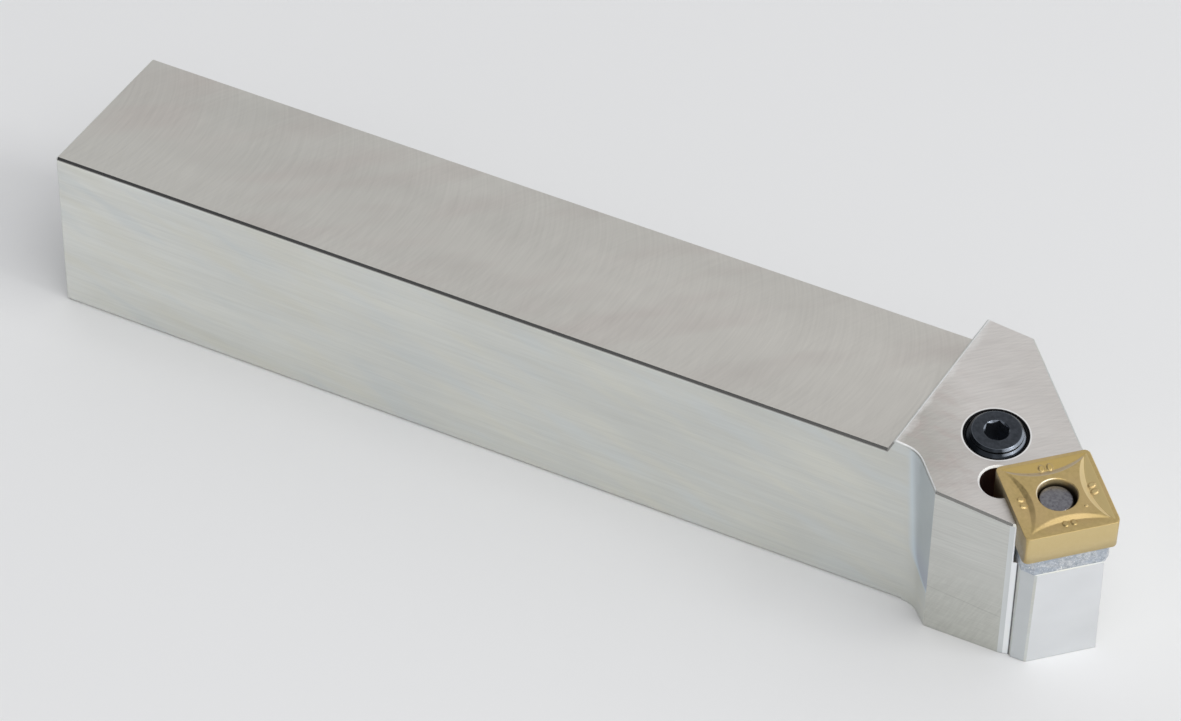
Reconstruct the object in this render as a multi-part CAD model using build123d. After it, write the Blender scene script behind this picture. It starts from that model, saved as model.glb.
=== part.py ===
"""Lever-lock turning tool holder with a square insert, left hand, 45 degree approach.

The shank lies along X with the cutting end towards +X and the cutting corner towards -Y.
The origin is the middle of the shank's bottom bearing face, and +Z is up.

Everything around the insert is built in the seat's frame.  Its origin is the sharp near corner
of the insert's main cutting edge.  Its first axis (u) runs along that edge, its second (v) runs
across the insert and rises at the seat's tilt, and its third (t) is the normal of the insert.
The lever works in an upright slice of that frame that runs from the insert's axis to the screw.
Lengths are millimetres and angles are degrees.
"""
import os
from math import atan2, cos, degrees, hypot, radians, sin, sqrt, tan

from build123d import *

# ---- shank ---------------------------------------------------------------------------------
shank_height = 25.0
shank_width = 25.0
shank_length = 126.0         # length that a tool post can grip
shank_chamfer = 0.3

# ---- cutting point -------------------------------------------------------------------------
overall_length = 158.3       # back end to the foremost point of the insert
functional_width = 32.0      # far side of the shank to the outermost point of the insert
approach_angle = 45.0        # main cutting edge to the shank's length
seat_tilt = 8.0              # the seat rises this much behind the main cutting edge

# ---- cutting insert ------------------------------------------------------------------------
insert_side = 12.7
insert_thickness = 4.76
insert_nose = 0.8
hole_radius = 2.58
hole_flare = 0.3             # chamfer at each end of the insert's hole
land_width = 0.5             # flat land behind the cutting edge
groove_depth = 0.33          # chip-breaker groove below the cutting edge
groove_angle = 76.0          # outer side of the groove, off the vertical
plateau_corner = 1.6         # cutting edges to the plateau's tips
plateau_waist = 2.85         # cutting edge to the middle of the plateau's hollow sides
plateau_angle = 63.0         # inner side of the groove, off the vertical

# ---- shim and its sleeve -------------------------------------------------------------------
shim_thickness = 3.18
shim_setback = 0.55          # shim inside the insert on all four sides
shim_near_corner = 1.3       # corner cut under the insert's near corner
shim_corner = 0.7            # the other corner cuts
sleeve_radius = 3.22
sleeve_wall = 0.55
sleeve_sink = 0.4            # top of the sleeve below the shim's top
sleeve_gap = 0.9             # width of the spring slot
sleeve_clearance = 0.03      # sleeve to its bores

# ---- head ----------------------------------------------------------------------------------
head_drop = 1.1              # head top below the insert's top
root_offset = 0.3            # gripping length to the foot of the root wall
root_slope = 26.6            # root wall, off the vertical
front_setback = 0.45         # seat block inside the insert's main flank
side_setback = 0.3           # head side inside the insert's forward flank, at the top
side_relief = 1.4
trail_setback = 1.4          # seat block's front corner inside the insert's forward flank
trail_angle = 10.6           # side of the seat block turns in from the head's side by this much
ramp_offset = 8.25           # insert's near side to the head's ramp
ramp_radius = 4.0            # hollow between the shank's side and the ramp
near_overhang = 3.05         # near wall outside the shank's side, at the bottom
near_relief = 4.4            # near wall leans out towards the top
near_wall_length = 11.0      # near wall along the bottom, from the ramp to the flute
flute_angle = 16.0           # flute beside the seat block turns in from the near wall
block_inset = 0.6            # seat block's near side inside the insert's near flank
block_corner = 1.5           # corner cut of the seat block
head_chamfer = 0.28
corner_chamfer = 0.35        # upright edge of the near wall beside the seat block
block_chamfer = 0.2          # edges of the seat block

# ---- pocket --------------------------------------------------------------------------------
relief_radius = 2.57
relief_out = 0.25            # relief bore inside the pocket's near wall
relief_back = 1.6            # relief bore in front of the pocket's back wall
relief_sink = 0.25           # relief bore below the pocket floor
rim_width = 0.25             # chamfer on the rims of the bores and the pocket

# ---- lever screw ---------------------------------------------------------------------------
screw_across = 3.95          # insert centre to screw axis, along the main edge
screw_back = 12.45           # insert centre to screw axis, across the insert
thread_radius = 4.0
thread_clearance = 0.05
screw_proud = 0.8            # screw top above the head top when clamped
screw_bevel = 0.3            # bevel round the flat face
screw_step = 0.28            # upright step between the bevel and the thread's own bevel
thread_bevel = 0.43
thread_length = 9.3
stem_radius = 3.55
waist_radius = 2.4
collar_radius = 3.7
collar_length = 1.8
collar_chamfer = 0.35
socket_across_flats = 3.0
socket_depth = 3.6
socket_chamfer = 0.25        # countersink round the socket's corners

# ---- clamp lever ---------------------------------------------------------------------------
lever_width = 4.0
heel_radius = 2.2
heel_clearance = 0.06
heel_depth = 6.26            # heel's centre below the pocket floor
neck_radius = 1.9
head_play = 0.26             # lever head inside the insert's hole, all round
lever_head_height = 2.6
lever_head_round = 0.2
lever_sink = 1.05            # lever top below the insert's top
clamp_gap = 0.04             # lever head to the side of the insert's hole that it pulls
arm_height = 3.8
arm_play = 0.2               # arm to the screw's shoulder and collar
waist_play = 0.4             # arm end to the screw's waist
slot_play = 0.4              # arm to the sides of its slot
slot_headroom = 1.0          # arm to the slot's roof
ledge_reach = 1.2            # ledge under the heel, past the insert's axis

# ---- places that follow from the sizes -----------------------------------------------------
back_x = -shank_length / 2
near_y = -shank_width / 2
far_y = shank_width / 2
root_x = shank_length / 2 + root_offset
along = cos(radians(approach_angle))
aside = sin(radians(approach_angle))
nose_reach = insert_nose * (sqrt(2) - 1)
corner_x = back_x + overall_length + nose_reach - insert_side * along
corner_y = far_y - functional_width - nose_reach
tilt = radians(seat_tilt)
seat_normal = Vector(aside * sin(tilt), -along * sin(tilt), cos(tilt))
seat = Plane(
    origin=(corner_x, corner_y, shank_height), x_dir=(along, aside, 0), z_dir=seat_normal
).location

shim_top = -insert_thickness
floor_t = shim_top - shim_thickness
centre = insert_side / 2
screw_u = centre - screw_across
screw_v = centre + screw_back
arm_length = hypot(screw_across, screw_back)
arm_turn = degrees(atan2(screw_back, -screw_across))
lever_frame = seat * Pos(centre, centre, 0) * Rot(0, 0, arm_turn)
bore_radius = thread_radius + thread_clearance
pin_bore_radius = sleeve_radius + sleeve_clearance
heel_t = floor_t - heel_depth
heel_foot = heel_t - heel_radius
arm_top = heel_foot + arm_height
slot_roof = arm_top + slot_headroom
slot_radius = lever_width / 2 + slot_play
ledge_t = heel_foot - heel_clearance
head_radius = hole_radius - head_play
lever_lean = head_play - clamp_gap
screw_top = screw_proud - head_drop
shoulder_t = arm_top + arm_play
collar_t = heel_foot - arm_play
near_wall_y = near_y - near_overhang
near_lean = tan(radians(near_relief))
flute_rise = Vector(near_lean, -near_lean, 1)
stock = 60.0                 # more than any cut is long
MIDDLE = (Align.CENTER, Align.CENTER, Align.MIN)


# ---- building blocks -----------------------------------------------------------------------
def beyond(origin, outward, level=(1, 0, 0)):
    """Block on the outer side of a plane that holds the given level direction."""
    wall = Plane(origin=origin, x_dir=level, z_dir=outward)
    return wall.location * Box(4 * stock, 4 * stock, 2 * stock, align=MIDDLE)


def prism(points, low, high):
    """Polygon in the seat's frame, carried along the seat's normal from low to high."""
    face = make_face(Polyline(*points, close=True))
    return seat * Pos(0, 0, low) * extrude(face, high - low)


def column(u, v, radius, low, high):
    """Round bar in the seat's frame, along the seat's normal from low to high."""
    return seat * Pos(u, v, low) * Cylinder(radius, high - low, align=MIDDLE)


def rim(u, v, radius, level):
    """Cone that breaks the top edge of a bore at the given level."""
    reach = 4 * rim_width
    cone = Cone(radius - reach, radius + rim_width, reach + rim_width, align=MIDDLE)
    return seat * Pos(u, v, level - reach - rim_width) * cone


# ---- holder body ---------------------------------------------------------------------------
def shank_bar():
    """Square shank with broken long edges and a broken back end."""
    bar = Pos(back_x, 0, 0) * Box(
        shank_length + root_offset, shank_width, shank_height,
        align=(Align.MIN, Align.CENTER, Align.MIN),
    )
    back = bar.faces().sort_by(Axis.X)[0]
    return chamfer(bar.edges().filter_by(Axis.X) + back.edges(), shank_chamfer)


def head_blank():
    """Full-height stock of the head, between the leaning root wall and the tilted head top."""
    reach = tan(radians(root_slope)) * stock
    side_view = make_face(Polyline(
        (root_x, 0), (root_x + stock, 0), (root_x + stock, stock + shank_height),
        (root_x + reach, stock + shank_height), (root_x, shank_height),
        close=True,
    ))
    blank = Pos(0, far_y, 0) * Plane.XZ.location * extrude(side_view, stock)
    return blank - beyond((seat * Pos(0, 0, -head_drop)).position, seat_normal, (along, aside, 0))


def ramp_x_at(y):
    """Where the head's ramp crosses a line along the shank at the given y."""
    return corner_x + (corner_y - y) * aside / along - ramp_offset / along


def flute_foot():
    """Where the near wall ends along the bottom and the flute begins."""
    return Vector(ramp_x_at(near_wall_y) + near_wall_length, near_wall_y, 0)


def shank_side_cut():
    """Stock beside the shank, up to the head's 45 degree ramp, with the hollow between them."""
    ramp_x = ramp_x_at(near_y)
    outline = make_face(Polyline(
        (back_x - stock, near_y), (ramp_x, near_y),
        (ramp_x + stock, near_y - stock * aside / along), (back_x - stock, near_y - stock),
        close=True,
    ))
    hollow = outline.vertices().sort_by_distance((ramp_x, near_y, 0))[0]
    return Pos(0, 0, -stock) * extrude(fillet(hollow, ramp_radius), 2 * stock)


def near_foot_cut():
    """Broken bottom edge of the shank's near side, carried on to the start of the hollow."""
    hollow_start = ramp_x_at(near_y) - ramp_radius * tan(radians(approach_angle / 2))
    corner = make_face(Polyline(
        (near_y, 0), (near_y + shank_chamfer, 0), (near_y, shank_chamfer), close=True
    ))
    return Pos(root_x, 0, 0) * Plane.YZ.location * extrude(corner, hollow_start - root_x)


def near_wall_cut():
    """Stock outside the leaning near wall and outside the flute that turns in beside the block."""
    wall = beyond((0, near_wall_y, 0), (0, -1, -near_lean))
    turn = radians(flute_angle)
    inward = Vector(cos(turn), sin(turn), 0)
    flute = beyond(flute_foot(), inward.cross(flute_rise), inward)
    beside_block = prism(
        [(-stock, -stock), (block_inset, -stock), (block_inset, stock), (-stock, stock)],
        -stock, stock,
    )
    return (wall + flute) & beside_block


def front_cut():
    """Stock in front of the seat block, with the corner cut under the insert's near corner."""
    inner = front_setback + block_corner
    return prism(
        [
            (-stock, -stock), (stock, -stock), (stock, front_setback),
            (block_inset + block_corner, front_setback), (block_inset, inner),
            (block_inset, front_setback), (-stock, front_setback),
        ],
        -stock, stock,
    )


def side_cut():
    """Stock outside the head's leaning forward side."""
    lean = radians(side_relief)
    top_corner = (seat * Pos(insert_side - side_setback, centre, -head_drop)).position
    outward = Vector(along * cos(lean), aside * cos(lean), -sin(lean))
    return beyond(top_corner, outward, (-aside, along, 0))


def trail_cut():
    """Stock outside the upright face that turns in towards the seat block's front corner."""
    corner = (seat * Pos(insert_side - trail_setback, front_setback, floor_t)).position
    facing = radians(approach_angle - trail_angle)
    outside = beyond(corner, (cos(facing), sin(facing), 0), (-sin(facing), cos(facing), 0))
    return outside & prism([(0, -stock), (stock, -stock), (stock, stock), (0, stock)], -stock, floor_t)


def is_top_edge(edge):
    """Whether an edge lies in the head's top face."""
    heights = [(edge @ place - seat.position).dot(seat_normal) for place in (0, 0.5, 1)]
    return all(abs(height + head_drop) < head_chamfer / 100 for height in heights)


def outer_shape():
    """Shank and head before the insert's pocket, with the broken edges."""
    head = head_blank() - shank_side_cut() - near_wall_cut() - front_cut() - side_cut()
    head = chamfer(head.edges().filter_by(is_top_edge), head_chamfer)
    return shank_bar() + (head - trail_cut() - near_foot_cut())


def with_broken_edges(body):
    """Body with the upright edges beside the seat block, and the block's own edges, broken."""
    depth = (floor_t - shank_height) / 2
    flute_edge = flute_foot() + flute_rise * (shank_height / 3)
    body = chamfer(body.edges().sort_by_distance(flute_edge)[0], corner_chamfer)
    block_edge = (seat * Pos(block_inset + block_corner, front_setback, depth)).position
    block_front = (seat * Pos(centre, front_setback, floor_t)).position
    edges = [body.edges().sort_by_distance(place)[0] for place in (block_edge, block_front)]
    return chamfer(edges, block_chamfer)


def pocket_cut():
    """Pocket of the insert and the shim, open to the front and the forward side."""
    walls = [(0, -stock), (stock, -stock), (stock, insert_side), (0, insert_side)]
    pocket = prism(walls, floor_t, stock)
    relief_v = insert_side - relief_back
    pocket += column(relief_out, relief_v, relief_radius, floor_t - relief_sink, stock)
    return pocket + rim(relief_out, relief_v, relief_radius, -head_drop)


def lever_chamber():
    """Slot milled from below between the sleeve's bore and the screw's bore."""
    near_end = ledge_reach + slot_radius
    middle = (near_end + arm_length) / 2
    slot = SlotCenterToCenter(arm_length - near_end, 2 * slot_radius)
    roofed = slot_roof + stock
    chamber = lever_frame * Pos(middle, 0, -stock) * extrude(slot, roofed)
    passage = Box(
        middle, 2 * slot_radius, slot_roof - ledge_t, align=(Align.MIN, Align.CENTER, Align.MIN)
    )
    return chamber + lever_frame * Pos(0, 0, ledge_t) * passage


def make_holder_body():
    """Shank and head in one piece, with the pocket, the bores and the lever's chamber."""
    body = outer_shape() - pocket_cut() - lever_chamber()
    body -= column(centre, centre, pin_bore_radius, ledge_t, stock)
    body -= column(screw_u, screw_v, bore_radius, -stock, stock)
    return with_broken_edges(body - rim(screw_u, screw_v, bore_radius, -head_drop))


# ---- shim and sleeve -----------------------------------------------------------------------
def make_shim_seat():
    """Square hard-metal plate with cut corners and a round hole."""
    low = shim_setback
    high = insert_side - shim_setback
    plate = prism(
        [
            (low + shim_near_corner, low), (high - shim_corner, low), (high, low + shim_corner),
            (high, high - shim_corner), (high - shim_corner, high), (low + shim_corner, high),
            (low, high - shim_corner), (low, low + shim_near_corner),
        ],
        floor_t, shim_top,
    )
    return plate - column(centre, centre, pin_bore_radius, -stock, stock)


def make_shim_pin():
    """Spring sleeve, slit along its length on the side away from the lever's arm."""
    top = shim_top - sleeve_sink
    sleeve = column(centre, centre, sleeve_radius, slot_roof, top)
    sleeve -= column(centre, centre, sleeve_radius - sleeve_wall, -stock, stock)
    slit = Box(2 * sleeve_radius, sleeve_gap, 2 * stock, align=(Align.MAX, Align.CENTER, Align.CENTER))
    return sleeve - lever_frame * slit


# ---- clamp lever ---------------------------------------------------------------------------
def lever_shaft():
    """Round neck with the barrel-shaped head that sits in the insert's hole."""
    top = -lever_sink
    waist = top - lever_head_height
    outline = make_face([
        Line((0, heel_t), (neck_radius, heel_t)),
        Line((neck_radius, heel_t), (neck_radius, waist)),
        ThreePointArc(
            (neck_radius, waist), (head_radius, (top + waist) / 2),
            (head_radius - lever_head_round / 2, top - lever_head_round),
        ),
        Line((head_radius - lever_head_round / 2, top - lever_head_round),
             (head_radius - lever_head_round, top)),
        Line((head_radius - lever_head_round, top), (0, top)),
        Line((0, top), (0, heel_t)),
    ])
    return lever_frame * Pos(lever_lean, 0, 0) * revolve(Plane.XZ.location * outline, Axis.Z)


def make_clamp_lever():
    """L-shaped lever: rounded heel, neck and head upwards, arm reaching into the screw's waist."""
    heel = Pos(0, 0, heel_t) * Rot(90, 0, 0) * Cylinder(heel_radius, lever_width)
    arm = Pos(0, 0, heel_foot) * Box(
        arm_length, lever_width, arm_height, align=(Align.MIN, Align.CENTER, Align.MIN)
    )
    lever = lever_frame * (heel + arm) + lever_shaft()
    return lever - column(screw_u, screw_v, waist_radius + waist_play, -stock, stock)


# ---- lever screw ---------------------------------------------------------------------------
def make_lever_screw():
    """Screw with a bevelled top, a hexagon socket, a waist for the lever's arm and a collar."""
    thread_end = screw_top - thread_length
    foot = collar_t - collar_length
    step_radius = thread_radius - thread_bevel
    step_foot = screw_top - screw_bevel - screw_step
    outline = make_face(Polyline(
        (0, screw_top), (step_radius - screw_bevel, screw_top),
        (step_radius, screw_top - screw_bevel), (step_radius, step_foot),
        (thread_radius, step_foot - thread_bevel), (thread_radius, thread_end),
        (stem_radius, thread_end - (thread_radius - stem_radius)), (stem_radius, shoulder_t),
        (waist_radius, shoulder_t), (waist_radius, collar_t), (collar_radius, collar_t),
        (collar_radius, foot + collar_chamfer), (collar_radius - collar_chamfer, foot), (0, foot),
        close=True,
    ))
    screw = revolve(Plane.XZ.location * outline, Axis.Z)
    hexagon = RegularPolygon(socket_across_flats / 2, 6, major_radius=False)
    screw -= Pos(0, 0, screw_top - socket_depth) * extrude(hexagon, 2 * socket_depth)
    corners = socket_across_flats / sqrt(3)
    mouth = Cone(corners - socket_chamfer, corners + socket_chamfer, 2 * socket_chamfer)
    screw -= Pos(0, 0, screw_top) * mouth
    return seat * Pos(screw_u, screw_v, 0) * screw


# ---- cutting insert ------------------------------------------------------------------------
def insert_plateau(wall):
    """Raised middle of the chip breaker: four hollow sides that meet in four blunt tips."""
    tip = centre - plateau_corner
    hollow = centre - plateau_waist
    blunt = insert_nose / 2
    corners = [(tip, tip), (-tip, tip), (-tip, -tip), (tip, -tip)]
    sides = []
    for first, second in zip(corners, corners[1:] + corners[:1]):
        start = tuple(a + (b - a) * blunt / (2 * tip) for a, b in zip(first, second))
        stop = tuple(b + (a - b) * blunt / (2 * tip) for a, b in zip(first, second))
        middle = tuple((a + b) / 2 * hollow / tip for a, b in zip(first, second))
        sides.append(ThreePointArc(start, middle, stop))
    tips = [Line(one @ 1, other @ 0) for one, other in zip(sides, sides[1:] + sides[:1])]
    face = make_face(sides + tips)
    return extrude(face, -wall, taper=-plateau_angle)


def groove():
    """Chip-breaker groove under the top face, between the land and the plateau."""
    width = insert_side - 2 * land_width
    cut = extrude(Rectangle(width, width), -groove_depth, taper=groove_angle)
    return cut - insert_plateau(groove_depth)


def make_cutting_insert():
    """Square double-sided insert: the same chip breaker on both faces and a flared hole."""
    plate = extrude(RectangleRounded(insert_side, insert_side, insert_nose), -insert_thickness)
    upper = groove()
    lower = Pos(0, 0, -insert_thickness) * Rot(180, 0, 0) * groove()
    plate -= upper
    plate -= lower
    hole = Cylinder(hole_radius, 2 * insert_thickness)
    flare = Cone(hole_radius, hole_radius + 2 * hole_flare, 2 * hole_flare)
    plate -= hole
    plate -= flare
    plate -= Pos(0, 0, -insert_thickness) * Rot(180, 0, 0) * flare
    return seat * Pos(centre, centre, 0) * plate


pieces = {
    "holder_body": make_holder_body(),
    "shim_seat": make_shim_seat(),
    "shim_pin": make_shim_pin(),
    "clamp_lever": make_clamp_lever(),
    "lever_screw": make_lever_screw(),
    "cutting_insert": make_cutting_insert(),
}
os.makedirs("parts", exist_ok=True)
for name, shape in pieces.items():
    export_step(shape, os.path.join("parts", name + ".step"))
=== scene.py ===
"""Dresses the turning tool holder: finishes for the holder, shim, sleeve, lever and screw, and a
moulded insert, on a pale floor."""

import bpy
import numpy as np
from mathutils import Matrix, Vector


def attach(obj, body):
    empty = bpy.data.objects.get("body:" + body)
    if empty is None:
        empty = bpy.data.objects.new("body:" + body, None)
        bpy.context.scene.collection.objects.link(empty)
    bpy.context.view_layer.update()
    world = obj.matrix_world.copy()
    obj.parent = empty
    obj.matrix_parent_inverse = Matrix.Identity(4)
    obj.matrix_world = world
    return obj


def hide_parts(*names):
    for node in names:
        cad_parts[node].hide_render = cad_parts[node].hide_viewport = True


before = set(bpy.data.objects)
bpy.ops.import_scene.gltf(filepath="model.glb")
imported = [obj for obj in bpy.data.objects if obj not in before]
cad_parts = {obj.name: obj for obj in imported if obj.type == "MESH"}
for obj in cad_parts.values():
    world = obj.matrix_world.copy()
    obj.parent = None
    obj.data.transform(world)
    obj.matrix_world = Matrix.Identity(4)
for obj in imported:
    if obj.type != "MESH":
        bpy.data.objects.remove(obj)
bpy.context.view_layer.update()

# ---- Holder body ---------------------------------------------------------------------------
# One forged bar of tool steel.  The shank is ground on all four sides, the head is milled: its
# tilted top in crossing passes, its near wall in level passes, and the block under the insert
# finely.  The cutting seat leans back 8 degrees about the level main cutting edge.
HALF = np.sqrt(0.5)
SHANK_TOP = 0.025
NEAR_CHAMFER = 0.0004
SEAT_TILT = np.radians(8.0)
SEAT_ALONG = np.array([HALF, HALF, 0.0])
SEAT_ACROSS = np.array([-HALF * np.cos(SEAT_TILT), HALF * np.cos(SEAT_TILT), np.sin(SEAT_TILT)])
SEAT_NORMAL = np.cross(SEAT_ALONG, SEAT_ACROSS)
SEAT_CORNER = np.array([0.08665112, -0.01983137, SHANK_TOP])
# Directions that the head's faces and edges face, and that of the edges on which a glint of the lamp
# is painted.
NEAR_WALL_LEAN = np.radians(4.4)
NEAR_WALL_OUT = (0.0, -np.cos(NEAR_WALL_LEAN), -np.sin(NEAR_WALL_LEAN))
FLUTE_OUT = (0.275, -0.957, -0.095)
NEAR_EDGE_OUT = (0.0, -HALF, HALF)
RAMP_EDGE_OUT = (-0.44, -0.56, 0.70)
WALL_EDGE_OUT = (0.139, -0.986, -0.087)
CORNER_OUT = (0.0, -0.99, -0.139)
ROOT_OUT = (-np.cos(np.radians(26.6)), 0.0, np.sin(np.radians(26.6)))
GLINT_OUT = HALF * (SEAT_NORMAL + 0.62 * SEAT_ALONG - 0.785 * SEAT_ACROSS)
# The head's top below the cutting edge, the block's inset from the edge, and the rims' chamfer.
HEAD_DROP = 0.0011
BLOCK_INSET = 0.0006
RIM = 0.00025
# Each bore's place along and across the seat and its radius, the relief bore's end, and the painted
# highlight ring round the screw.
SCREW_BORE = (0.0024, 0.0188, 0.00405)
RELIEF_BORE = (0.00025, 0.0111, 0.00257)
RELIEF_FLOOR = -0.0085
HIGHLIGHT_RING_INNER = 0.00436
HIGHLIGHT_RING_OUTER = 0.00456
# The foot of the root between shank and head, and the hollow milled below it: its two ends, its
# depth, and the place where the painted grey reflection column on its ramp begins.
ROOT_FOOT = (0.0633, 0.0, SHANK_TOP)
HOLLOW_START = 0.0634
HOLLOW_END = 0.0726
HOLLOW_DEPTH = 0.0185
COLUMN_START = 0.0672
# Middle line and radius of the grinding wheel's arcs and of the face mill's, and the height and
# the slope of the long scratch on the near wall.
WHEEL_Y = -0.0031
WHEEL_RADIUS = 0.026
CUTTER_U = 0.004
CUTTER_RADIUS = 0.030
SCRATCH_Z = 0.0149
SCRATCH_SLOPE = 0.1


def add(tree, kind, inputs=None, **settings):
    """Adds a shader node.  Inputs are numbers, colours or other nodes' outputs."""
    made = tree.nodes.new("ShaderNode" + kind)
    for name, value in settings.items():
        setattr(made, name, value)
    for name, value in (inputs or {}).items():
        if isinstance(value, bpy.types.NodeSocket):
            tree.links.new(value, made.inputs[name])
        else:
            made.inputs[name].default_value = value
    return made


def metal(name, metallic):
    """New material with the given share of metal.  Returns it with its tree and its shader."""
    made = bpy.data.materials.new(name)
    made.use_nodes = True
    surface = made.node_tree.nodes["Principled BSDF"]
    surface.inputs["Metallic"].default_value = metallic
    return made, made.node_tree, surface


def finish(node, made):
    """Gives a node of the CAD part the material on all of its surface."""
    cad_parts[node].data.materials.clear()
    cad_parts[node].data.materials.append(made)


def blend(tree, share, first, second):
    """Colour that goes from the first to the second as the share goes from 0 to 1."""
    return add(tree, "Mix", {0: share, 6: first, 7: second}, data_type="RGBA").outputs[2]


def level(tree, share, first, second):
    """Number that goes from the first to the second as the share goes from 0 to 1."""
    return add(tree, "Mix", {0: share, 2: first, 3: second}, data_type="FLOAT").outputs[0]


def figure(tree, sort, first, second=0.0):
    """One step of arithmetic on numbers."""
    return add(tree, "Math", {0: first, 1: second}, operation=sort).outputs[0]


def ramp(tree, value, low, high, least=0.0, most=1.0):
    """Value carried from the range low to high onto the range least to most, and held there."""
    return add(tree, "MapRange", {0: value, 1: low, 2: high, 3: least, 4: most}).outputs[0]


def step(tree, value, place, soft):
    """0 below the place and 1 above it, rising over twice the soft width.  A soft width below 0
    turns it round."""
    return ramp(tree, value, place - soft, place + soft)


def both(tree, *shares):
    """Product of shares: 1 only where all of them are 1."""
    total = shares[0]
    for share in shares[1:]:
        total = figure(tree, "MULTIPLY", total, share)
    return total


def opposite(tree, share):
    """1 where the share is 0, and 0 where it is 1."""
    return figure(tree, "SUBTRACT", 1.0, share)


def facing(tree, direction, spread=0.004):
    """1 where the surface faces the direction, falling to 0 a few degrees off it."""
    normal = add(tree, "TexCoord").outputs["Normal"]
    unit = add(tree, "VectorMath", {0: normal}, operation="NORMALIZE").outputs[0]
    dot = add(tree, "VectorMath", {0: unit, 1: tuple(direction)}, operation="DOT_PRODUCT")
    return ramp(tree, dot.outputs["Value"], 1.0 - spread, 1.0 - spread / 2)


def streaks(tree, turn, sizes, detail=3.0, roughness=0.6):
    """Noise drawn out into streaks: sizes are the streaks' lengths along the turned axes."""
    place = add(tree, "TexCoord").outputs["Object"]
    mapped = add(tree, "Mapping", {"Vector": place, "Rotation": turn, "Scale": sizes},
                 vector_type="TEXTURE")
    return add(tree, "TexNoise", {"Vector": mapped.outputs[0], "Scale": 1.0, "Detail": detail,
                                  "Roughness": roughness}).outputs[0]


def arcs(tree, x, y, radius, side, pitch, length):
    """Streaks along the arcs x = c + side * sqrt(radius^2 - y^2), as a cup wheel or a face mill
    leaves them when it is fed along x."""
    squares = figure(tree, "SUBTRACT", radius * radius, figure(tree, "MULTIPLY", y, y))
    bow = figure(tree, "MULTIPLY", figure(tree, "SQRT", squares), side)
    across = figure(tree, "DIVIDE", figure(tree, "SUBTRACT", x, bow), pitch)
    joined = add(tree, "CombineXYZ", {0: across, 1: figure(tree, "DIVIDE", y, length)})
    return add(tree, "TexNoise", {"Vector": joined.outputs[0], "Scale": 1.0, "Detail": 3.0,
                                  "Roughness": 0.55}).outputs[0]


def share_of(tree, *parts):
    """Sum of pairs of a node's output and its weight."""
    total = 0.0
    for output, weight in parts:
        total = figure(tree, "ADD", figure(tree, "MULTIPLY", output, weight), total)
    return total


def seat_parts(tree):
    """Distances of the shaded point from the seat's corner along the seat's three axes."""
    place = add(tree, "TexCoord").outputs["Object"]
    offset = add(tree, "VectorMath", {0: place, 1: tuple(SEAT_CORNER)}, operation="SUBTRACT")
    return [add(tree, "VectorMath", {0: offset.outputs[0], 1: tuple(axis)},
                operation="DOT_PRODUCT").outputs["Value"]
            for axis in (SEAT_ALONG, SEAT_ACROSS, SEAT_NORMAL)]


def from_axis(tree, parts, bore):
    """Distance of the shaded point from a bore's axis."""
    du = figure(tree, "SUBTRACT", parts[0], bore[0])
    dv = figure(tree, "SUBTRACT", parts[1], bore[1])
    squares = figure(tree, "ADD", figure(tree, "MULTIPLY", du, du), figure(tree, "MULTIPLY", dv, dv))
    return figure(tree, "SQRT", squares)


material, tree, shader = metal("ground_tool_steel", 1.0)
place = add(tree, "TexCoord").outputs["Object"]
place_x, place_y, place_z = add(tree, "SeparateXYZ", {0: place}).outputs
parts = seat_parts(tree)
from_screw = from_axis(tree, parts, SCREW_BORE)
past_foot = add(tree, "VectorMath", {0: place, 1: ROOT_FOOT}, operation="SUBTRACT").outputs[0]
from_root = add(tree, "VectorMath", {0: past_foot, 1: ROOT_OUT},
                operation="DOT_PRODUCT").outputs["Value"]

# Which face or edge the shaded point is on: told by the direction it faces, and by its place
# where two face the same way.
on_top = facing(tree, (0, 0, 1))
on_head = facing(tree, SEAT_NORMAL, 0.002)
on_near = facing(tree, (0, -1, 0), 0.002)
on_wall = facing(tree, NEAR_WALL_OUT, 0.002)
on_front = facing(tree, -SEAT_ACROSS, 0.004)
on_flute = facing(tree, FLUTE_OUT, 0.002)
on_root = facing(tree, ROOT_OUT, 0.01)
on_wall_edge = facing(tree, WALL_EDGE_OUT, 0.005)
on_corner = both(tree, facing(tree, CORNER_OUT, 0.01), step(tree, parts[0], BLOCK_INSET, 0.00001))
along_hollow = both(tree, step(tree, place_x, HOLLOW_START, 0.0002),
                     step(tree, place_x, HOLLOW_END, -0.0001))
in_hollow = both(tree, facing(tree, (-HALF, -HALF, 0), 0.28), along_hollow)
# A painted highlight on the upper part of the ramp's chamfer.
on_ramp_highlight = both(tree, facing(tree, RAMP_EDGE_OUT, 0.3), along_hollow,
                      step(tree, parts[2], -HEAD_DROP - 0.58 * RIM, 0.1 * RIM))
# A painted dark reflection on the near top chamfer, and on its hook up the root's end.
on_dark_reflection = both(tree, facing(tree, NEAR_EDGE_OUT, 0.03), opposite(tree, along_hollow))
dark_reflection_hook = both(tree, on_near, step(tree, from_root, -0.00026, 0.00004),
            step(tree, place_z, SHANK_TOP - NEAR_CHAMFER, 0.0001))
# A painted highlight strip on the near side just under its top chamfer.
highlight_strip = both(tree, on_near, ramp(tree, from_root, -0.0001, 0.0),
                 ramp(tree, place_z, SHANK_TOP - NEAR_CHAMFER - 0.00025, SHANK_TOP - NEAR_CHAMFER))

# The shank's grinding: crossing arcs on top, lengthwise lines on the sides.
wheel_y = figure(tree, "SUBTRACT", place_y, WHEEL_Y)
grain_top = share_of(tree, (arcs(tree, place_x, wheel_y, WHEEL_RADIUS, 1.0, 0.0004, 0.012), 0.6),
                     (arcs(tree, place_x, wheel_y, WHEEL_RADIUS, -1.0, 0.0005, 0.010), 0.4))
grain_side = share_of(tree, (streaks(tree, (0, 0, 0), (0.016, 0.0006, 0.0006)), 0.65),
                      (streaks(tree, (0, 0, 0), (0.006, 0.0002, 0.00016)), 0.35))
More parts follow.
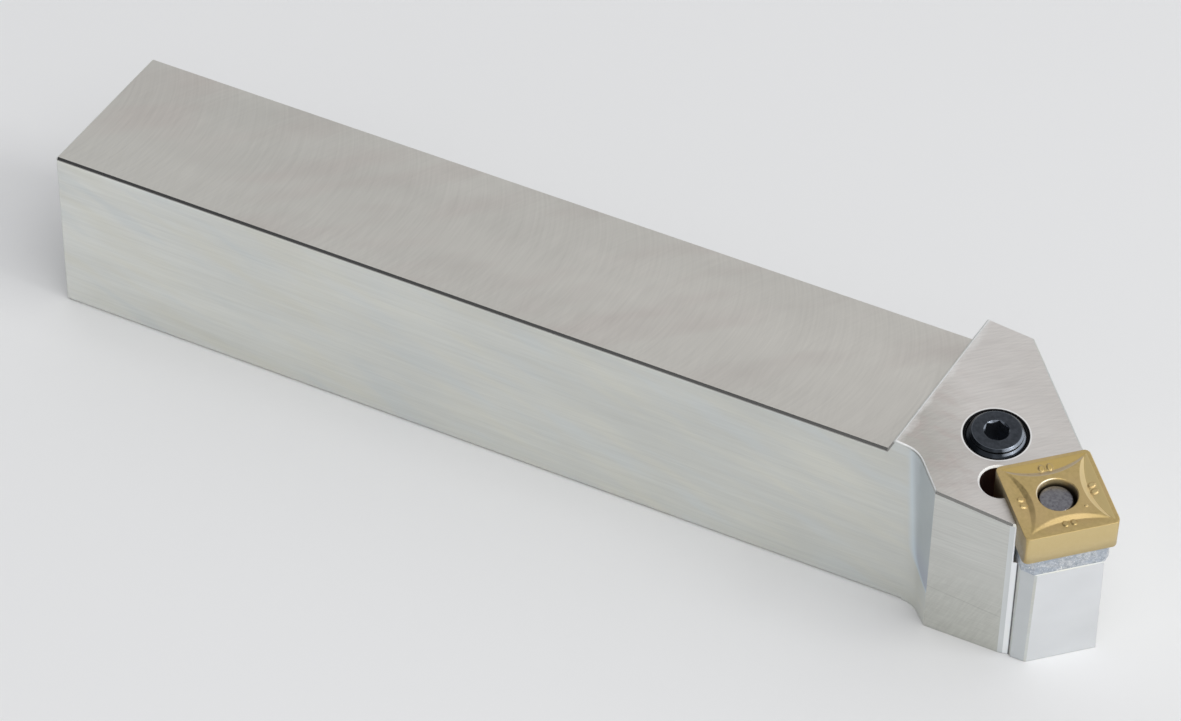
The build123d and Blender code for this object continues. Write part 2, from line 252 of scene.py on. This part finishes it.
# The head's milling: crossing scratches on top, level passes and a crosshatch on the near wall.
cutter_u = figure(tree, "SUBTRACT", parts[0], CUTTER_U)
grain_head = share_of(tree, (arcs(tree, parts[1], cutter_u, CUTTER_RADIUS, 1.0, 0.0003, 0.006), 0.4),
                      (arcs(tree, parts[1], cutter_u, CUTTER_RADIUS, -1.0, 0.0003, 0.006), 0.35),
                      (streaks(tree, (0, 0, np.radians(45)), (0.004, 0.0003, 0.0003)), 0.25))
passes = share_of(tree, (streaks(tree, (0, 0, 0), (0.012, 0.001, 0.0004)), 0.6),
                  (streaks(tree, (0, 0, 0), (0.005, 0.001, 0.00015)), 0.4))
hatch = share_of(tree, (streaks(tree, (0, np.radians(-62), 0), (0.003, 0.001, 0.00028)), 0.55),
                 (streaks(tree, (0, 0, 0), (0.003, 0.001, 0.00022)), 0.45))
grain_wall = level(tree, ramp(tree, place_z, 0.016, 0.008), passes, hatch)
pattern = level(tree, on_top, grain_side, grain_top)
pattern = level(tree, on_head, pattern, grain_head)
pattern = level(tree, on_wall, pattern, grain_wall)

# The shank's tones: sides with straw and cool patches, and a warmer top.
side_tone = blend(tree, ramp(tree, place_x, -0.06, 0.03), (0.76, 0.77, 0.735, 1),
                  (0.69, 0.70, 0.665, 1))
straw = streaks(tree, (0, 0.3, 0), (0.020, 0.006, 0.004), detail=2.0)
side_tone = blend(tree, ramp(tree, straw, 0.50, 0.66, 0.0, 0.6), side_tone, (0.74, 0.735, 0.665, 1))
side_tone = blend(tree, ramp(tree, straw, 0.46, 0.34, 0.0, 0.6), side_tone, (0.69, 0.72, 0.715, 1))
top_tone = blend(tree, ramp(tree, place_x, -0.06, 0.06), (0.66, 0.645, 0.60, 1),
                 (0.71, 0.685, 0.635, 1))
warm = streaks(tree, (0.4, 0, 0.7), (0.024, 0.008, 0.009), detail=2.0)
tone = blend(tree, on_top, side_tone, top_tone)
tone = blend(tree, both(tree, ramp(tree, warm, 0.48, 0.68, 0.0, 0.65), on_top), tone,
             (0.645, 0.60, 0.56, 1))
# The head's top: lighter towards the insert, with a reddish blush, and a painted highlight along the
# root.
inward = figure(tree, "ADD", parts[0], ramp(tree, parts[1], 0.018, 0.012, 0.0, 0.005))
head_tone = blend(tree, ramp(tree, inward, -0.0065, 0.0012), (0.59, 0.565, 0.52, 1),
                  (0.77, 0.735, 0.70, 1))
tone = blend(tree, on_head, tone, head_tone)
speckle = streaks(tree, (0, 0, 0), (0.0035, 0.0018, 0.003), detail=4.0)
blush = both(tree, ramp(tree, speckle, 0.45, 0.65, 0.0, 0.6), on_head,
             ramp(tree, parts[0], -0.005, 0.003, 1.0, 0.1),
             ramp(tree, parts[1], 0.009, 0.014, 0.1, 1.0))
tone = blend(tree, blush, tone, (0.62, 0.54, 0.505, 1))
uneven = streaks(tree, (0, 0, 0), (0.002, 0.003, 0.002))
root_highlight_width = ramp(tree, uneven, 0.30, 0.70, 0.0, 0.0009)
root_highlight = ramp(tree, figure(tree, "ADD", from_root, root_highlight_width), -0.0005, 0.0002)
tone = blend(tree, both(tree, on_head, root_highlight, 0.8), tone, (0.88, 0.86, 0.83, 1))
# Tones of the near wall, lighter upwards, and of the block's front, lighter upwards and near white:
# partly the steel's own colour, partly a painted reflection of the pale floor.
wall_tone = blend(tree, ramp(tree, place_z, 0.004, 0.016), (0.60, 0.605, 0.565, 1),
                  (0.665, 0.67, 0.64, 1))
front_reflection_tone = blend(tree, ramp(tree, place_z, 0.004, 0.012), (0.765, 0.78, 0.79, 1),
                   (0.85, 0.865, 0.88, 1))
# Painted reflections in the hollow: a bluish band, and beside it a grey column that narrows
# downwards on the ramp.
depth = figure(tree, "SUBTRACT", SHANK_TOP, place_z)
turned_in = figure(tree, "POWER", figure(tree, "DIVIDE", depth, HOLLOW_DEPTH), 16.0)
column_x = share_of(tree, (depth, 0.055), (turned_in, 0.003))
past_column = figure(tree, "SUBTRACT", figure(tree, "SUBTRACT", place_x, COLUMN_START), column_x)
low = ramp(tree, place_z, 0.013, 0.008)
blue_reflection = both(tree, in_hollow, ramp(tree, past_column, -0.0014, -0.0004))
grey_reflection = both(tree, in_hollow, ramp(tree, past_column, -0.00035, 0.0004))
# Each face and edge takes its tone in turn. The flute, the wall's edge and the ramp's chamfer take
# painted highlights, and the near chamfer with its hook a painted dark reflection.
for share, colour in (
    (on_root, (0.50, 0.485, 0.46, 1)),
    (on_wall, wall_tone),
    (on_front, front_reflection_tone),
    (blue_reflection, blend(tree, low, (0.685, 0.745, 0.775, 1), (0.68, 0.76, 0.83, 1))),
    (grey_reflection, blend(tree, low, (0.575, 0.62, 0.645, 1), (0.52, 0.56, 0.64, 1))),
    (on_corner, (0.635, 0.66, 0.67, 1)),
    (on_flute, (0.95, 0.97, 0.99, 1)),
    (on_wall_edge, (0.72, 0.745, 0.75, 1)),
    (on_ramp_highlight, (0.99, 0.99, 0.98, 1)),
    (figure(tree, "MAXIMUM", on_dark_reflection, dark_reflection_hook), (0.30, 0.295, 0.28, 1)),
):
    tone = blend(tree, share, tone, colour)
# A painted shadow line along the flute's foot, in the corner.
from_foot = figure(tree, "ABSOLUTE", figure(tree, "SUBTRACT", parts[0], BLOCK_INSET))
foot_shadow_line = both(tree, step(tree, from_foot, 0.00015, -0.00005), on_flute)
tone = blend(tree, foot_shadow_line, tone, (0.12, 0.12, 0.125, 1))

# The tool marks' light and dark, and the wide unevenness of the ground faces.
shade = ramp(tree, pattern, 0.25, 0.75, 0.94, 1.05)
shade = level(tree, on_head, shade, ramp(tree, pattern, 0.3, 0.7, 0.88, 1.08))
shade = level(tree, on_wall, shade, ramp(tree, pattern, 0.3, 0.7, 0.90, 1.07))
sloped_z = figure(tree, "ADD", place_z, figure(tree, "MULTIPLY", place_x, SCRATCH_SLOPE))
from_scratch = figure(tree, "ABSOLUTE", figure(tree, "SUBTRACT", sloped_z, SCRATCH_Z))
scratch = both(tree, on_wall, step(tree, from_scratch, 0.00008, -0.00004))
# The strip under the near chamfer is brightened here as a painted highlight.
shade = both(tree, shade, level(tree, scratch, 1.0, 0.88), level(tree, highlight_strip, 1.0, 1.16))
for smooth_face in (on_front, on_corner, on_flute, on_wall_edge, in_hollow):
    shade = level(tree, smooth_face, shade, 1.0)
cloud = streaks(tree, (0, 0, 0), (0.030, 0.011, 0.010), detail=2.0)
bright = both(tree, shade, ramp(tree, cloud, 0.3, 0.7, 0.96, 1.04))
tinted = add(tree, "VectorMath", {0: tone, "Scale": bright}, operation="SCALE").outputs[0]

# The two bores: painted shade inside, with painted highlights on their chamfers. Round the screw
# there is a painted highlight ring on the head, and within it the chamfer is painted black: painted
# shade of the gap round the screw.
bore_shade = 0.0
rim_highlight = 0.0
below_head = ramp(tree, parts[2], -HEAD_DROP - 1.2 * RIM, -HEAD_DROP - 0.9 * RIM, 1.0, 0.0)
for bore, deepest in ((SCREW_BORE, -0.1), (RELIEF_BORE, RELIEF_FLOOR)):
    reach = from_axis(tree, parts, bore)
    inside = both(tree, step(tree, reach, bore[2] + 0.00006, -0.00002),
                  ramp(tree, parts[2], deepest - 0.0001, deepest), below_head)
    bore_shade = figure(tree, "MAXIMUM", bore_shade, inside)
    rim_highlight = figure(tree, "MAXIMUM", rim_highlight,
                        step(tree, reach, bore[2] + 1.2 * RIM, -0.1 * RIM))
high = step(tree, parts[2], -HEAD_DROP - RIM, 0.1 * RIM)
rim_highlight = both(tree, rim_highlight, high, opposite(tree, on_head))
ring = both(tree, step(tree, from_screw, HIGHLIGHT_RING_INNER, 0.00002),
            step(tree, from_screw, HIGHLIGHT_RING_OUTER, -0.00004), on_head)
gap_shade = both(tree, step(tree, from_screw, HIGHLIGHT_RING_INNER, -0.00002), high)
for share, colour in (
    (rim_highlight, (1.0, 1.0, 0.99, 1)),
    (bore_shade, (0.30, 0.19, 0.16, 1)),
    (ring, (0.99, 0.98, 0.96, 1)),
    (gap_shade, (0.02, 0.02, 0.022, 1)),
):
    tinted = blend(tree, share, tinted, colour)
tree.links.new(tinted, shader.inputs["Base Color"])
rough = ramp(tree, pattern, 0.2, 0.8, 0.50, 0.38)
rough = level(tree, on_dark_reflection, rough, 0.22)
rough = level(tree, figure(tree, "MAXIMUM", on_ramp_highlight, rim_highlight), rough, 0.8)
tree.links.new(rough, shader.inputs["Roughness"])
edge = add(tree, "Bevel", {"Radius": 0.00012}, samples=6)
bump = add(tree, "Bump", {"Height": pattern, "Strength": 0.22, "Distance": 0.00002,
                          "Normal": edge.outputs[0]})
tree.links.new(bump.outputs[0], shader.inputs["Normal"])
finish("holder_body", material)

# ---- Shim ----------------------------------------------------------------------------------
# Sintered hard-metal plate under the insert, ground flat on both faces.  Its edge keeps the
# coarse blue-grey grain of the sintered skin, with bright grains in it.
material, tree, shader = metal("sintered_hard_metal", 0.6)
coarse = streaks(tree, (0, 0, 0), (0.0006, 0.0006, 0.0006), detail=4.0, roughness=0.75)
grains = streaks(tree, (0, 0, 0), (0.00022, 0.00022, 0.00022), detail=2.0)
patchy = streaks(tree, (0, 0, 0), (0.0026, 0.0026, 0.0018), detail=2.0)
skin = blend(tree, ramp(tree, coarse, 0.36, 0.62), (0.34, 0.375, 0.42, 1), (0.74, 0.76, 0.78, 1))
skin = blend(tree, ramp(tree, patchy, 0.42, 0.62, 0.0, 0.7), skin, (0.42, 0.48, 0.56, 1))
skin = blend(tree, ramp(tree, grains, 0.60, 0.68), skin, (0.95, 0.95, 0.93, 1))
tree.links.new(skin, shader.inputs["Base Color"])
shader.inputs["Roughness"].default_value = 0.55
edge = add(tree, "Bevel", {"Radius": 0.0001}, samples=6)
bump = add(tree, "Bump", {"Height": coarse, "Strength": 0.5, "Distance": 0.00004,
                          "Normal": edge.outputs[0]})
tree.links.new(bump.outputs[0], shader.inputs["Normal"])
finish("shim_seat", material)

# ---- Shim sleeve ---------------------------------------------------------------------------
# Rolled spring-steel sleeve that holds the shim to the floor of the pocket.  It is drawn along
# its length and lightly oiled.
material, tree, shader = metal("drawn_spring_steel", 1.0)
drawn = streaks(tree, (0, 0, 0), (0.0002, 0.0002, 0.004))
tree.links.new(blend(tree, ramp(tree, drawn, 0.3, 0.7), (0.30, 0.30, 0.31, 1),
                     (0.42, 0.42, 0.43, 1)), shader.inputs["Base Color"])
shader.inputs["Roughness"].default_value = 0.35
finish("shim_pin", material)

# ---- Clamp lever ---------------------------------------------------------------------------
# Hardened L-shaped lever with a dull grey skin.  Its barrel-shaped head fills the insert's hole
# and its arm ends in the screw's waist.
material, tree, shader = metal("hardened_lever_steel", 0.9)
dull = streaks(tree, (0, 0, 0), (0.0004, 0.0004, 0.0004), detail=4.0)
on_face = facing(tree, SEAT_NORMAL, 0.02)
face_tone = blend(tree, ramp(tree, dull, 0.35, 0.65), (0.155, 0.15, 0.17, 1), (0.25, 0.25, 0.265, 1))
# The head's edges that face the lamp get a painted glint.
edge_glint_tone = blend(tree, facing(tree, GLINT_OUT, 0.4), (0.22, 0.21, 0.23, 1), (0.98, 0.98, 1.0, 1))
tree.links.new(blend(tree, on_face, edge_glint_tone, face_tone), shader.inputs["Base Color"])
tree.links.new(level(tree, on_face, 0.18, ramp(tree, dull, 0.3, 0.7, 0.26, 0.40)),
               shader.inputs["Roughness"])
edge = add(tree, "Bevel", {"Radius": 0.0002}, samples=8)
tree.links.new(edge.outputs[0], shader.inputs["Normal"])
finish("clamp_lever", material)

# ---- Lever screw ---------------------------------------------------------------------------
# Turned screw with a black-oxide skin: a flat face ring round the hexagon socket, a bevel and a
# step down to the thread, and below it the waist that works the lever.
HEAD_REACH = 0.00382
FACE_REACH = 0.00319
SOCKET_REACH = 0.0024
material, tree, shader = metal("black_oxide_steel", 0.9)
skin = streaks(tree, (0, 0, 0), (0.0006, 0.0006, 0.0006), detail=4.0)
oxide = blend(tree, ramp(tree, skin, 0.3, 0.7), (0.036, 0.041, 0.049, 1), (0.066, 0.073, 0.086, 1))
on_face = facing(tree, SEAT_NORMAL, 0.02)
around = from_axis(tree, seat_parts(tree), SCREW_BORE)
# A painted glint on the bevels and on the socket's chamfer where they face the lamp.
painted_glint = both(tree, facing(tree, GLINT_OUT, 0.16), step(tree, around, HEAD_REACH, -0.00004))
bevels = blend(tree, painted_glint, (0.022, 0.026, 0.032, 1), (0.36, 0.40, 0.46, 1))
in_socket = both(tree, step(tree, around, SOCKET_REACH, -0.0001), opposite(tree, painted_glint))
bevels = blend(tree, in_socket, bevels, (0.13, 0.145, 0.17, 1))
# A painted highlight line round the face ring's edge.
face_edge_highlight = step(tree, around, FACE_REACH, 0.00003)
oxide = blend(tree, face_edge_highlight, oxide, (0.11, 0.125, 0.145, 1))
tree.links.new(blend(tree, on_face, bevels, oxide), shader.inputs["Base Color"])
tree.links.new(level(tree, on_face, 0.2, ramp(tree, skin, 0.3, 0.7, 0.28, 0.38)),
               shader.inputs["Roughness"])
edge = add(tree, "Bevel", {"Radius": 0.0001}, samples=6)
tree.links.new(edge.outputs[0], shader.inputs["Normal"])
finish("lever_screw", material)

# ---- Cutting insert ------------------------------------------------------------------------
# Pressed and sintered hard metal with a gold-coloured coating, the same on both faces: a narrow
# land, four lens-shaped facets that fall inwards, hollow walls that rise to the star-shaped
# plateau, and raised pips moulded on the facets.
SIDE = 12.7
THICKNESS = 4.76
NOSE = 0.8
HOLE = 2.58
LAND = 0.5
EDGE_ROUND = 0.05
PLATEAU_WAIST = 2.88
PLATEAU_TIP = 1.4
FACET_ANGLE = np.radians(13.0)
WALL_ANGLE = np.radians(25.0)
PIPS = ((6.35 - 0.56, 1.6), (6.35 + 0.56, 1.6))
PIP_HALF = (0.46, 0.60)
PIP_HEIGHT = 0.17
DOT = (9.23, 3.7)
DOT_RADIUS = 0.24
DOT_HEIGHT = 0.1
DOME_FLAT = 0.65
HOLE_ROUND = 0.28
VALLEY_ROUND = 0.06
BROW_ROUND = 0.05


def insert_outline(count):
    """Rounded square by equal steps of its length: four straight sides and four quarter arcs."""
    half = SIDE / 2 - NOSE
    quarter = 2 * half + NOSE * np.pi / 2
    walked = np.arange(count) / count * 4 * quarter
    turn = np.floor(walked / quarter)
    rest = walked - turn * quarter
    straight = np.minimum(rest, 2 * half) - half
    bend = np.maximum(rest - 2 * half, 0.0) / NOSE
    x = straight + NOSE * np.sin(bend)
    y = -half - NOSE * np.cos(bend)
    angle = turn * np.pi / 2
    return np.stack([x * np.cos(angle) - y * np.sin(angle), x * np.sin(angle) + y * np.cos(angle)])


def inside_distance(x, y):
    """Distance in from the rounded square's outline: the box's distance, rounded at the corners."""
    half = SIDE / 2 - NOSE
    dx, dy = np.abs(x) - half, np.abs(y) - half
    outer = np.hypot(np.maximum(dx, 0), np.maximum(dy, 0)) + np.minimum(np.maximum(dx, dy), 0)
    return NOSE - outer


def dome(off):
    """Height from 1 in the middle to 0 at distance 1: flat up to DOME_FLAT, then a smooth
    fall 1 - s * s * (3 - 2 * s)."""
    s = np.clip((off - DOME_FLAT) / (1 - DOME_FLAT), 0, 1)
    return 1 - s * s * (3 - 2 * s)


def rounded(depth, radius):
    """Drop of a quarter-round edge of the given radius at a distance in from it."""
    return radius - np.sqrt(np.maximum(radius ** 2 - np.maximum(radius - depth, 0) ** 2, 0))


def smooth_high(first, second, width):
    """Larger of two heights, with a hollow of the given width where they cross."""
    gap = np.clip(0.5 + 0.5 * (first - second) / width, 0, 1)
    return second + (first - second) * gap + width * gap * (1 - gap)


def breaker_height(x, y):
    """Height of the chip breaker, in mm below the cutting edge, at x, y from the insert's middle.

    The facet falls with the distance inside the land.  The wall falls with the distance outside
    the plateau, whose four sides are arcs that bow inwards.  The surface is the higher of the
    two, never above the plateau, and the pips stand on it."""
    inside = inside_distance(x, y)
    facet = -np.tan(FACET_ANGLE) * np.maximum(inside - LAND, 0)
    waist, tip = SIDE / 2 - PLATEAU_WAIST, SIDE / 2 - PLATEAU_TIP
    radius = (tip ** 2 + (tip - waist) ** 2) / (2 * (tip - waist))
    middle = waist + radius
    across = np.minimum(np.hypot(x, np.abs(y) - middle), np.hypot(np.abs(x) - middle, y))
    wall = -np.tan(WALL_ANGLE) * (radius - across)
    valley = smooth_high(facet, wall, VALLEY_ROUND)
    height = -smooth_high(-valley, np.zeros_like(x), BROW_ROUND)
    for turn in range(4):
        angle = turn * np.pi / 2
        u = x * np.cos(angle) + y * np.sin(angle)
        v = -x * np.sin(angle) + y * np.cos(angle)
        for pip_u, pip_v in PIPS:
            across_pip = (u - pip_u + SIDE / 2) / PIP_HALF[0]
            height += PIP_HEIGHT * dome(np.hypot(across_pip, (v - pip_v + SIDE / 2) / PIP_HALF[1]))
    from_dot = np.hypot(x + SIDE / 2 - DOT[0], y + SIDE / 2 - DOT[1])
    return height + DOT_HEIGHT * dome(from_dot / DOT_RADIUS)


def insert_grid(round_count=440, face_count=84):
    """Closed grid, round the outline and through the insert: up the flank, over the top face to
    the hole, down the hole and back under.  Returns points in the seat's frame, in mm."""
    outline = insert_outline(round_count)
    turn = np.arctan2(outline[1], outline[0])
    ring = np.stack([np.cos(turn), np.sin(turn)]) * HOLE
    share = np.linspace(0, 1, face_count)[:, None]
    x = outline[0] + (ring[0] - outline[0]) * share
    y = outline[1] + (ring[1] - outline[1]) * share
    face = breaker_height(x, y)
    face = face - rounded(inside_distance(x, y), EDGE_ROUND)
    face = face - rounded(np.hypot(x, y) - HOLE, HOLE_ROUND)
    top = np.stack([x, y, face], axis=-1)
    bottom = np.stack([x, y, -THICKNESS - face], axis=-1)[::-1]
    return np.concatenate([top, bottom])


def closed_mesh(name, grid, to_frame):
    """Mesh of quads over a grid that closes on itself both ways."""
    rows, columns = grid.shape[:2]
    points = to_frame(grid.reshape(-1, 3))
    row, column = np.meshgrid(np.arange(rows), np.arange(columns), indexing="ij")
    below, after = (row + 1) % rows, (column + 1) % columns
    quads = np.stack([row * columns + column, row * columns + after,
                      below * columns + after, below * columns + column], axis=-1).reshape(-1, 4)
    mesh = bpy.data.meshes.new(name)
    mesh.from_pydata(points.tolist(), [], quads.tolist())
    mesh.polygons.foreach_set("use_smooth", np.ones(len(quads), dtype=bool))
    made = bpy.data.objects.new(name, mesh)
    bpy.context.scene.collection.objects.link(made)
    return made


def seat_points(points):
    """Points given in mm about the insert's middle, carried to the part's frame in metres."""
    along = (points[:, 0] + SIDE / 2)[:, None] * SEAT_ALONG
    across = (points[:, 1] + SIDE / 2)[:, None] * SEAT_ACROSS
    return SEAT_CORNER + (along + across + points[:, 2][:, None] * SEAT_NORMAL) / 1000


insert = closed_mesh("cutting_insert_moulded", insert_grid(), seat_points)
material, tree, shader = metal("gold_coated_hard_metal", 0.85)
matt = streaks(tree, (0, 0, 0), (0.0005, 0.0005, 0.0005), detail=4.0)
patch = streaks(tree, (0, 0, 0), (0.005, 0.005, 0.003), detail=2.0)
shaded_left = facing(tree, -SEAT_ALONG, 0.3)
gold = blend(tree, ramp(tree, matt, 0.3, 0.7), (0.50, 0.37, 0.155, 1), (0.60, 0.45, 0.20, 1))
gold = blend(tree, ramp(tree, patch, 0.45, 0.7, 0.0, 0.35), gold, (0.64, 0.46, 0.25, 1))
# Painted light on the front flank, and painted shade on the left flank.
gold = blend(tree, facing(tree, -SEAT_ACROSS, 0.3), gold, (0.68, 0.54, 0.275, 1))
gold = blend(tree, shaded_left, gold, (0.35, 0.285, 0.18, 1))
parts = seat_parts(tree)
# On the right and back sides the facets and walls get their own tones: painted light and shade,
# brightest on the right wall.
for away, gone, facet_painted_light, wall_painted_light in (
    (SEAT_ALONG, parts[0], (0.68, 0.53, 0.25, 1), (0.84, 0.67, 0.36, 1)),
    (SEAT_ACROSS, parts[1], (0.53, 0.385, 0.14, 1), (0.575, 0.48, 0.335, 1)),
):
    far = step(tree, gone, 0.0086, 0.0001)
    facet_out = SEAT_NORMAL * np.cos(FACET_ANGLE) - away * np.sin(FACET_ANGLE)
    wall_out = SEAT_NORMAL * np.cos(WALL_ANGLE) + away * np.sin(WALL_ANGLE)
    gold = blend(tree, both(tree, facing(tree, facet_out, 0.01), far), gold, facet_painted_light)
    gold = blend(tree, both(tree, facing(tree, wall_out, 0.06), far), gold, wall_painted_light)
around = from_axis(tree, parts, (SIDE / 2000, SIDE / 2000))
# A painted highlight on the hole's rim where it faces the lamp.
lit_rim = both(tree, facing(tree, GLINT_OUT, 0.2), step(tree, around, 0.00305, -0.00015))
gold = blend(tree, lit_rim, gold, (0.92, 0.80, 0.60, 1))
# Painted shade deep in the hole.
hole_shade = both(tree, step(tree, around, (HOLE + 0.03) / 1000, -0.00001),
                 ramp(tree, parts[2], -0.0003, -0.0012))
gold = blend(tree, hole_shade, gold, (0.10, 0.075, 0.05, 1))
tree.links.new(gold, shader.inputs["Base Color"])
tree.links.new(ramp(tree, matt, 0.3, 0.7, 0.36, 0.48), shader.inputs["Roughness"])
bump = add(tree, "Bump", {"Height": matt, "Strength": 0.3, "Distance": 0.00002})
tree.links.new(bump.outputs[0], shader.inputs["Normal"])
insert.data.materials.append(material)
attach(insert, "holder")
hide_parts("cutting_insert")

# ---- Floor, lights and camera --------------------------------------------------------------
# A pale floor just under the shank, two large soft lamps under a pale sky with one dark panel, and
# the camera in front of the near side, above the cutting end.
FLOOR_Z = -0.00005
bpy.ops.mesh.primitive_plane_add(size=4.0, location=(0, 0, FLOOR_Z))
floor = bpy.context.object
floor.name = "floor"
material = bpy.data.materials.new("pale_floor")
material.use_nodes = True
shader = material.node_tree.nodes["Principled BSDF"]
shader.inputs["Base Color"].default_value = (0.86, 0.86, 0.86, 1)
shader.inputs["Roughness"].default_value = 0.9
shader.inputs["Specular IOR Level"].default_value = 0.1
floor.data.materials.append(material)

DARK_SIDE = Vector((-0.70, -0.28, 0.66)).normalized()
world = bpy.data.worlds.new("pale_sky")
world.use_nodes = True
tree = world.node_tree
direction = add(tree, "TexCoord").outputs["Generated"]
toward = add(tree, "VectorMath", {0: direction, 1: DARK_SIDE}, operation="DOT_PRODUCT")
panel = ramp(tree, toward.outputs["Value"], 0.82, 0.88)
sky = blend(tree, panel, (0.97, 0.98, 1.0, 1), (0.10, 0.105, 0.12, 1))
tree.links.new(sky, tree.nodes["Background"].inputs["Color"])
tree.nodes["Background"].inputs["Strength"].default_value = 0.70
bpy.context.scene.world = world

TARGET = Vector((0.02, 0.0, 0.01))
for name, spot, size, power in (
    ("lamp_over", (0.60, -0.55, 1.10), 1.0, 5.0),
    ("lamp_right", (1.12, 0.05, 0.85), 0.45, 4.0),
):
    lamp = bpy.data.lights.new(name, "AREA")
    lamp.size = size
    lamp.energy = power
    placed = bpy.data.objects.new(name, lamp)
    placed.location = spot
    placed.rotation_euler = (TARGET - Vector(spot)).to_track_quat("-Z", "Y").to_euler()
    bpy.context.scene.collection.objects.link(placed)

# The camera's turn as an axis times its angle, and its lens as a length in pixels of the frame.
CAMERA_TURN = (2.22293277, 0.566868584, -0.272145099)
CAMERA_PLACE = (0.32005, -0.54855, 0.54846)
LENS_PIXELS = 6175.86
FRAME_PIXELS = 1181.0
angle = Vector(CAMERA_TURN).length
view_turn = Matrix.Rotation(angle, 3, Vector(CAMERA_TURN) / angle)
right, down, ahead = view_turn[0], view_turn[1], view_turn[2]
camera_data = bpy.data.cameras.new("camera")
camera_data.sensor_width = 36.0
camera_data.lens = LENS_PIXELS * camera_data.sensor_width / FRAME_PIXELS
camera_data.shift_x = 0.0002
camera_data.shift_y = 0.0010
camera_data.clip_end = 20.0
camera = bpy.data.objects.new("camera", camera_data)
turned = Matrix((right, -down, -ahead)).transposed().to_4x4()
camera.matrix_world = Matrix.Translation(CAMERA_PLACE) @ turned
bpy.context.scene.collection.objects.link(camera)
bpy.context.scene.camera = camera
bpy.context.scene.view_settings.view_transform = "Standard"
